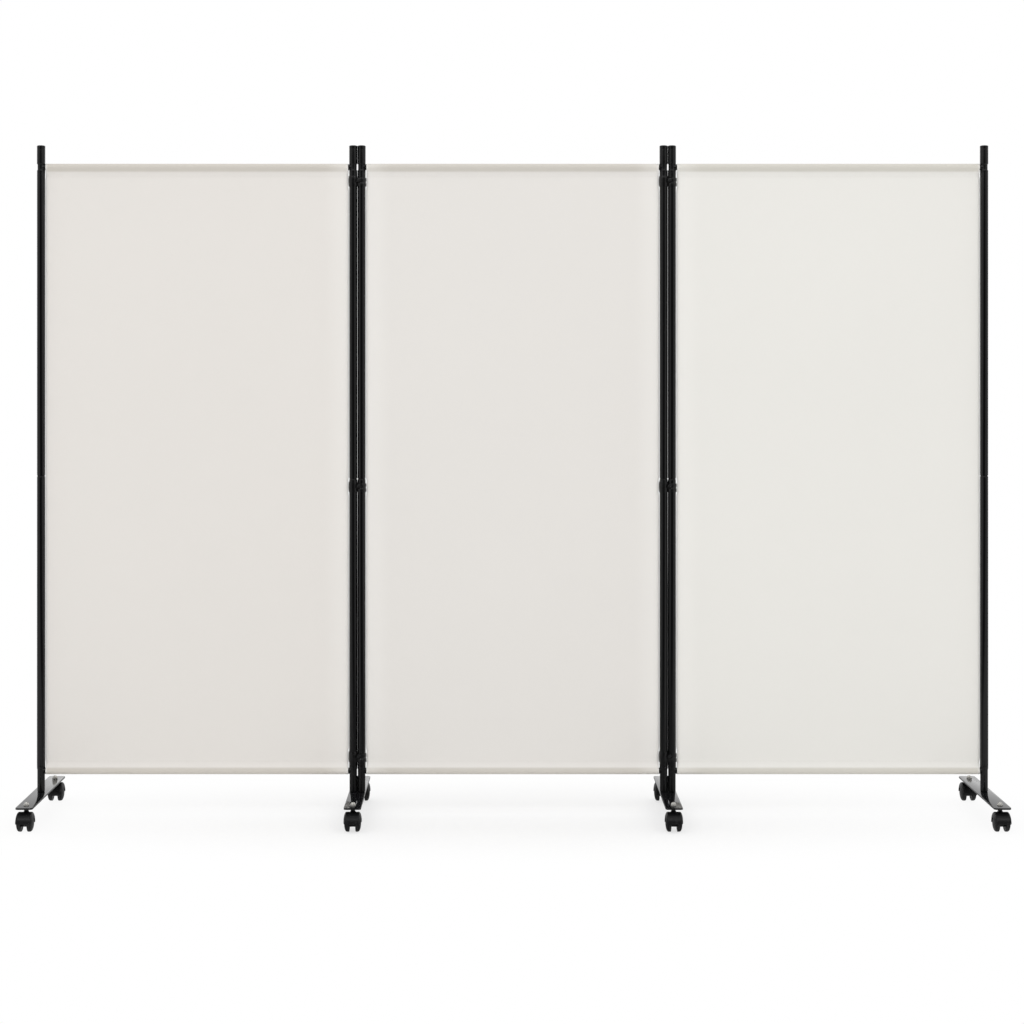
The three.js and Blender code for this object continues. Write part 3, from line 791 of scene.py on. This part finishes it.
# Domed cap nut on the plate
def capNutShapes():
    base, rise = plateTop + nut["hex"], nut["height"] - nut["hex"]
    dome = [(0, base - nut["sink"]), (nut["dome"], base - nut["sink"])]
    for k in range(nut["domeSteps"]):
        angle = math.pi / 2 * k / nut["domeSteps"]
        dome.append((nut["dome"] * math.cos(angle), base + rise * math.sin(angle)))
    return [hexShape(nut["flats"], plateTop, base), turned(dome + [(0, base + rise)], nut["sides"])]


# Tongue behind the slit between a pair's legs, its top corners rounded
def tongueShape():
    x, low, high = tongue["width"] / 2, plateTop - gap, tongue["top"]
    outline = [(-x, low), (x, low), (x, high), (-x, high)]
    rounded = softened(outline, tongue["corner"], closed=True)
    upright = raised(rounded, -tongue["back"], -tongue["front"], tongue["edge"])
    return moved(upright, Matrix.Rotation(math.pi / 2, 4, "X"))


# Caster stem, from inside the hood up to its flange under the plate
def stemShape():
    low, high, top = collarTop - stem["reach"], stem["waistHeight"], plateBottom
    flare, flange, edge = stem["flare"], stem["flange"], stem["flangeEdge"]
    under = top - stem["flangeHeight"]
    outline = [
        (0, low), (stem["radius"], low), (stem["radius"], collarTop + gap), (flare, collarTop + gap),
        (flare, collarTop + stem["flareHeight"]), (stem["waist"], collarTop + high),
        (stem["waist"], top - high), (flange - edge, under - edge / 2),
        (flange, under), (flange, top), (0, top),
    ]
    return turned(softened(outline, stem["round"]), sides=36)


feet = {"left_outer": "left_outer_stand", "left_middle": "left_middle_stand",
        "right_middle": "right_middle_stand", "right_outer": "right_outer_stand"}
ends = {"front": -1, "back": 1}

for name, body in feet.items():
    x = middleOf(name + "_foot").x
    plate = raised(plateOutline(), plateBottom, plateTop, foot["edge"])
    shapes = [plate] + ([tongueShape()] if name in ("left_middle", "right_middle") else [])
    piece(f"{name}_plate", [(moved(shape, at(x)), plateFinish) for shape in shapes], body,
          [name + "_foot"])
    for end, side in ends.items():
        place = at(x, side * (foot["length"] / 2 - foot["stemInset"]))
        capNut = [(moved(shape, place), nickelFinish) for shape in capNutShapes()]
        piece(f"{name}_{end}_cap_nut", capNut, body)
        piece(f"{name}_{end}_stem", [(moved(stemShape(), place), oxideFinish)], body)
print("foot plates, stems and cap nuts made")


caster = {
    "trail": 0.013, "wheel": 0.0235, "web": 0.0148, "webEdge": 0.0008,
    "coverFrom": -8, "coverTo": 180, "coverSteps": 44, "coverEdge": 0.0005,
    "coverRound": 0.0005,
    "webRadius": 0.0261, "webFoot": 0.011, "footFrom": 180, "footTo": 300,
    "collar": 0.007, "collarLow": 0.018, "collarBase": 0.0095, "collarFoot": 0.003,
    "collarEdge": 0.0012, "collarRound": 0.0006, "stemHole": 0.0043,
    "inside": 0.008, "dish": 0.0008, "dishFrom": 0.006, "dishTo": 0.0012, "dishSlope": 0.001,
    "tread": 0.0150, "treadEdge": 0.0154, "treadSink": 0.001, "shoulder": 0.0009,
    "treadBevel": 0.0006, "treadEase": 0.0005, "treadRound": 0.0003,
    "dome": 0.0066, "domeSteps": 24, "rim": 0.0229, "rimStep": 0.0002, "rimEdge": 0.0004,
    "grooves": (0.0095, 0.0195), "grooveDepth": 0.0003, "axle": 0.003, "axleReach": 0.0004,
    "sides": 56,
}

# The cover's section from its crown to one side, as (radius about the axle, distance along it)
coverOutside = [(0.0272, 0.0110), (0.02725, 0.0166), (0.0261, 0.0188), (0.0228, 0.0207),
                (0.0185, 0.0220), (0.0150, 0.0227), (0.0122, 0.0230)]
coverInside = [(0.0122, 0.0218), (0.0165, 0.0205), (0.0199, 0.0192), (0.0228, 0.0174),
               (0.0250, 0.0152)]


def coverShape():
    # corners are rounded as far as the points allow
    corners = softened(coverOutside, math.inf, 4) + softened(coverInside, math.inf, 3)
    half = softened(corners, caster["coverRound"])
    section = half + [(radius, -x) for radius, x in reversed(half)]
    edge, steps = caster["coverEdge"], caster["coverSteps"]
    thin = inset(section, edge)
    loops = []
    for k in range(-1, steps + 2):
        share = min(max(k, 0), steps) / steps
        angle = math.radians(caster["coverFrom"] + (caster["coverTo"] - caster["coverFrom"]) * share)
        # the ends of the sweep are rounded over
        angle += {0: edge, steps: -edge}.get(k, 0) / caster["webRadius"]
        outline = thin if k in (-1, steps + 1) else section
        loops.append([(x, radius * math.cos(angle), radius * math.sin(angle)) for radius, x in outline])
    return moved(lofted(loops), at(0, -caster["trail"], caster["wheel"]))


def arc(radius, start, end, steps):
    angles = [math.radians(start + (end - start) * k / steps) for k in range(steps + 1)]
    return [(radius * math.cos(angle), radius * math.sin(angle)) for angle in angles]


# Web between the wheels, carrying the axle and the stem's collar
def webShapes():
    outline = arc(caster["webRadius"], caster["coverFrom"], caster["coverTo"], 28) \
        + arc(caster["webFoot"], caster["footFrom"], caster["footTo"], 20)
    web = raised(outline, -caster["web"] / 2, caster["web"] / 2, caster["webEdge"])
    low, hole = caster["wheel"] + caster["collarLow"], caster["stemHole"]
    narrow, wide = caster["collar"], caster["collarBase"]
    collar = softened([
        (hole, low), (hole, collarTop), (narrow, collarTop), (narrow, collarTop - caster["collarEdge"]),
        (wide, low + caster["collarFoot"]), (wide, low),
    ], caster["collarRound"], closed=True)
    return [moved(web, at(0, -caster["trail"], caster["wheel"]) @ sideways),
            turned(collar, sides=40, closed=True)]


# One wheel of the pair: body with a domed side, and the tread round it
def wheelShapes(side):
    inside, rim, edge = caster["inside"], caster["rim"], caster["treadEdge"]
    dishFrom, dishTo, dish = rim - caster["dishFrom"], rim - caster["dishTo"], caster["dish"]
    body = [(0, inside), (dishFrom, inside), (dishFrom + caster["dishSlope"], inside + dish),
            (dishTo - dish, inside + dish), (dishTo, inside), (rim, inside + caster["rimEdge"]),
            (rim, edge)]
    dome = []
    for k in range(1, caster["domeSteps"]):
        radius = (rim - caster["rimStep"]) * math.cos(math.pi / 2 * k / caster["domeSteps"])
        dome.append((radius, edge + caster["dome"] * math.sqrt(1 - (radius / rim) ** 2)))
    for groove in caster["grooves"]:
        nearest = min(range(len(dome)), key=lambda k: abs(dome[k][0] - groove))
        dome[nearest] = (dome[nearest][0], dome[nearest][1] - caster["grooveDepth"])
    outline = body + dome + [(0, edge + caster["dome"])]

    wheel, low, high = caster["wheel"], inside + caster["treadRound"], caster["tread"]
    bevel, sunk = caster["treadBevel"], rim - caster["treadSink"]
    band = [(sunk, low), (wheel - caster["treadEase"], low), (wheel, low + caster["shoulder"]),
            (wheel, high - bevel), (wheel - bevel / 2, high), (sunk, high)]
    band = turned(softened(band, caster["treadRound"], closed=True), caster["sides"], closed=True)
    place = at(0, -caster["trail"], caster["wheel"]) @ Matrix.Rotation(side * math.pi / 2, 4, "Y")
    return [(moved(turned(outline, caster["sides"]), place), nylonFinish),
            (moved(band, place), treadFinish)]


def axleShape():
    reach = caster["inside"] + caster["axleReach"]
    outline = [(0, -reach), (caster["axle"], -reach), (caster["axle"], reach), (0, reach)]
    return moved(turned(outline, sides=24), at(0, -caster["trail"], caster["wheel"]) @ alongX)


for name in feet:
    x = middleOf(name + "_foot").x
    for end, side in ends.items():
        place = at(x, side * (foot["length"] / 2 - foot["stemInset"])) \
            @ Matrix.Rotation(0 if side < 0 else math.pi, 4, "Z")
        node = f"{name}_{end}_caster"
        hood = [(moved(shape, place), nylonFinish) for shape in [coverShape(), *webShapes()]]
        piece(node + "_cover", hood, f"{name}_{end}_fork", [node + "_hood"])
        wheels = wheelShapes(-1) + wheelShapes(1) + [(axleShape(), zincFinish)]
        piece(node + "_wheel_pair", [(moved(shape, place), finish) for shape, finish in wheels],
              f"{name}_{end}_wheels", [node + "_wheels"])
print("casters made")


clip = {
    "spacing": 0.0223, "bore": 0.0112, "clear": 0.0001, "outer": 0.0130, "squash": 0.01,
    "ringRound": 0.0007, "sides": 64,
    "barrelHeight": 0.028, "barrelEnd": 0.0124, "barrelBulge": 0.0001, "barrelSpan": 0.45,
    "jawHeight": 0.023, "jawDrop": 0.0025, "jawEdge": 0.0005, "jawBevel": 0.002,
    "notch": 0.0036, "notchDepth": 0.001, "notchLip": 0.001, "notchRamp": 0.0006,
    "bridge": 0.0088, "bridgeSkin": 0.00002, "bridgeEdge": 0.00001,
}

# Oval thumb pad on each clip's front
pad = {
    "tilt": 45, "length": 0.017, "width": 0.0116, "reach": 0.0139, "root": 0.0092, "sink": 0.0016,
    "shift": 0.0045, "rise": 0.003, "round": 0.0005, "buttonDrop": 0.0003,
    "rimLip": 0.0008, "buttonLip": 0.0009, "buttonCrown": 0.0004,
    "backRings": (0, 0.15, 0.3, 0.45, 0.6), "sides": 48,
}


# Ring round one pole, squashed to a skin where it would run into the other
def clipRing(side, outline):
    rounded = softened(outline, clip["ringRound"], closed=True)
    points, faces = turned(rounded, clip["sides"], closed=True)
    half, squashed = clip["spacing"] / 2, []
    for x, y, z in points:
        limit = half + (math.hypot(x, y) - clip["bore"]) * clip["squash"]
        squashed.append((-side * min(-side * x, limit), y, z))
    return moved((squashed, faces), at(side * half))


# Web between the rings, hollowed round both poles
def clipWeb(low, high):
    hollow, middle, skin = clip["bore"] + clip["clear"], clip["spacing"] / 2, clip["bridgeSkin"]
    swing = math.degrees(math.asin(clip["bridge"] / hollow))
    rightSide = [(max(middle - x, skin), y) for x, y in arc(hollow, -swing, swing, 16)]
    leftSide = [(min(x - middle, -skin), y) for x, y in arc(hollow, swing, -swing, 16)]
    return raised(rightSide + leftSide, low, high, clip["bridgeEdge"])


# A shape on the front with its back kept out of both poles
def clearOfPoles(shape):
    points, faces = shape
    keep, half, cleared = clip["bore"] + clip["clear"], clip["spacing"] / 2, []
    for x, y, z in points:
        for middle in (-half, half):
            y = min(y, -math.sqrt(max(keep ** 2 - (x - middle) ** 2, 0)))
        cleared.append((x, y, z))
    return cleared, faces


# The pad's rim and the button set in it, tilted on the front. Their outlines are given as
# (share of half the pad's length, height)
def padShapes():
    reach, root, sunk = pad["reach"], pad["root"], pad["reach"] - pad["sink"]
    rim = [(0.98, root), (1, reach - pad["rimLip"]), (0.95, reach), (0.86, reach), (0.76, sunk)]
    button = [(0.68, sunk), (0.66, reach - pad["buttonLip"]), (0.4, reach - pad["buttonCrown"])]
    squeeze = Matrix.Diagonal((1, pad["width"] / pad["length"], 1, 1))
    tilt = Matrix.Rotation(math.radians(pad["tilt"]), 4, "Z")
    place = at(pad["shift"], 0, pad["rise"]) @ Matrix.Rotation(math.pi / 2, 4, "X") @ tilt @ squeeze
    made, length = [], pad["length"] / 2
    for outline, low, high in ((rim, root, sunk), (button, sunk - pad["sink"], reach - pad["buttonDrop"])):
        back = [(share * length, low) for share in pad["backRings"]]
        side = softened([(share * length, height) for share, height in outline], pad["round"])
        shape = turned(back + side + [(0, high)], pad["sides"])
        made.append(clearOfPoles(moved(shape, place)))
    return made


def clipShapes():
    bore, outer, half = clip["bore"], clip["outer"], clip["barrelHeight"] / 2
    end, bulged, span = clip["barrelEnd"], outer - clip["barrelBulge"], half * clip["barrelSpan"]
    barrel = [(bore, -half), (end, -half), (bulged, -span), (outer, 0), (bulged, span), (end, half),
              (bore, half)]
    drop, lip, ramp = clip["jawDrop"], clip["notchLip"], clip["notchRamp"]
    low, high = -clip["jawHeight"] / 2 - drop, clip["jawHeight"] / 2 - drop
    notchLow, notchHigh = -clip["notch"] / 2 - drop, clip["notch"] / 2 - drop
    sunk, edge, bevel = outer - clip["notchDepth"], outer - clip["jawEdge"], clip["jawBevel"]
    jaw = [(bore, low), (edge, low), (outer, low + bevel), (outer, notchLow - lip),
           (sunk, notchLow + ramp), (sunk, notchHigh - ramp), (outer, notchHigh + lip),
           (outer, high - bevel), (edge, high), (bore, high)]
    rim, button = padShapes()
    black = [clipRing(-1, barrel), clipRing(1, jaw), clipWeb(low, high), rim]
    return [(shape, mouldingFinish) for shape in black] + [(button, oxideFinish)]


for side in ("left", "right"):
    for level in ("top", "middle", "bottom"):
        node = f"{side}_{level}_clip"
        low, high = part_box(node)
        place = at((low.x + high.x) / 2, 0, high.z - clip["barrelHeight"] / 2)
        piece(node + "_moulding", [(moved(shape, place), finish) for shape, finish in clipShapes()],
              side + "_middle_stand", [node])
print("clips made")


# Glow is what gloss sees: dark towards the front, grey at the sides and white behind
studio = {"ambient": 0.93, "darkest": 0.04, "sideGlow": 0.46, "shadedSideFrom": -0.92, "sideTo": -0.76,
          "backFrom": 0.3, "backTo": 0.9, "near": 0.2, "litFrom": 0.3, "litTo": 1.6,
          "floorSize": 60, "floor": 0.86, "floorSeen": 0.5, "shadowReach": 0.55, "shadowWidth": 1.9,
          "lampAim": 0.9, "lampCross": 0.2}

lamps = {
    "front left softbox": {"place": (-2.4, -4.6, 4.6), "size": (3.0, 1.2), "power": 36},
    "front right softbox": {"place": (2.4, -4.6, 4.6), "size": (3.0, 1.2), "power": 36},
    "overhead softbox": {"place": (0.0, 0.4, 4.6), "size": (4.0, 1.6), "power": 14},
    "back softbox": {"place": (0.0, 4.2, 4.3), "size": (4.5, 2.0), "power": 26},
}


def glow(finish, toBack):
    beside = finish.step(toBack, studio["shadedSideFrom"], studio["sideTo"])
    behind = finish.step(toBack, studio["backFrom"], studio["backTo"])
    backGlow = 1 - studio["darkest"] - studio["sideGlow"]
    return studio["darkest"] + beside * studio["sideGlow"] + behind * backGlow


def makeWorld():
    world = bpy.data.worlds.new("studio")
    bpy.context.scene.world = world
    finish = Finish("studio", world)
    camera, glossy, through = (finish.node("LightPath", output=f"Is {kind} Ray")
                               for kind in ("Camera", "Glossy", "Transmission"))
    toBack = finish.node("SeparateXYZ", values={0: finish.node("TexCoord", output="Generated")}, output="Y")
    strength = camera + through + glossy * glow(finish, toBack) \
        + (1 - camera) * (1 - through) * (1 - glossy) * studio["ambient"]
    light = finish.node("Background", values={"Color": (1, 1, 1, 1), "Strength": strength})
    finish.node("OutputWorld", values={"Surface": light})


# White floor that keeps the shadows near the screen and fades to plain white further out. Gloss sees
# it as it sees the room: dim near the screen and in front, lighter at the sides, white behind
def makeFloor():
    bpy.ops.mesh.primitive_plane_add(size=studio["floorSize"])
    floor = bpy.context.object
    floor.name = "studio_floor"
    finish = Finish("studio floor")
    glossy = finish.node("LightPath", output="Is Glossy Ray")
    seen = finish.node("LightPath", output="Is Camera Ray") \
        + finish.node("LightPath", output="Is Transmission Ray")
    squeeze = (studio["shadowReach"] / studio["shadowWidth"], 1, 1)
    spot = finish.node("VectorMath", {"operation": "MULTIPLY"}, {0: finish.place(), 1: squeeze})
    spread = finish.node("VectorMath", {"operation": "LENGTH"}, {0: spot}, output="Value")
    far = finish.step(spread, 0, studio["shadowReach"])
    share = seen * (studio["floorSeen"] + far * (1 - studio["floorSeen"])) + glossy
    where = finish.place()
    distance = finish.node("VectorMath", {"operation": "LENGTH"}, {0: where}, output="Value")
    direction = finish.node("VectorMath", {"operation": "NORMALIZE"}, {0: where})
    toBack = finish.node("SeparateXYZ", values={0: direction}, output="Y")
    away = finish.step(distance, studio["litFrom"], studio["litTo"])
    lit = (1 - away) * studio["near"] + away * glow(finish, toBack)
    shade = (studio["floor"],) * 3 + (1,)
    matt = finish.node("BsdfDiffuse", values={"Color": shade})
    white = finish.node("Emission", values={"Color": (1, 1, 1, 1), "Strength": seen + glossy * lit})
    mixed = finish.node("MixShader", values={0: share, 1: matt, 2: white})
    finish.node("OutputMaterial", values={"Surface": mixed})
    floor.data.materials.append(finish.owner)


def makeLamps():
    for name, own in lamps.items():
        light = bpy.data.lights.new(name, "AREA")
        light.shape = "RECTANGLE"
        light.size, light.size_y = own["size"]
        light.energy = own["power"]
        lamp = bpy.data.objects.new(name, light)
        lamp.location = own["place"]
        target = Vector((own["place"][0] * studio["lampCross"], 0, studio["lampAim"]))
        aim = target - Vector(own["place"])
        lamp.rotation_euler = aim.to_track_quat("-Z", "Y").to_euler()
        bpy.context.scene.collection.objects.link(lamp)


# The camera stands a little to the left; "middle" is where the screen's middle falls in the picture
view = {"distance": 5.4, "aside": -0.05, "height": 1.224, "focal": 2007, "frame": 1024,
        "horizon": 360.5, "middle": 512.6}


def makeCamera():
    lens = bpy.data.cameras.new("camera")
    lens.lens = lens.sensor_width * view["focal"] / view["frame"]
    ahead = view["middle"] + view["aside"] * view["focal"] / view["distance"]
    lens.shift_x = (view["frame"] / 2 - ahead) / view["frame"]
    lens.shift_y = (view["horizon"] - view["frame"] / 2) / view["frame"]
    camera = bpy.data.objects.new("camera", lens)
    camera.location = (view["aside"], -view["distance"], view["height"])
    camera.rotation_euler = (math.pi / 2, 0, 0)
    bpy.context.scene.collection.objects.link(camera)
    bpy.context.scene.camera = camera


makeWorld()
makeFloor()
makeLamps()
makeCamera()
bpy.context.scene.view_settings.view_transform = "Standard"
print("studio ready")
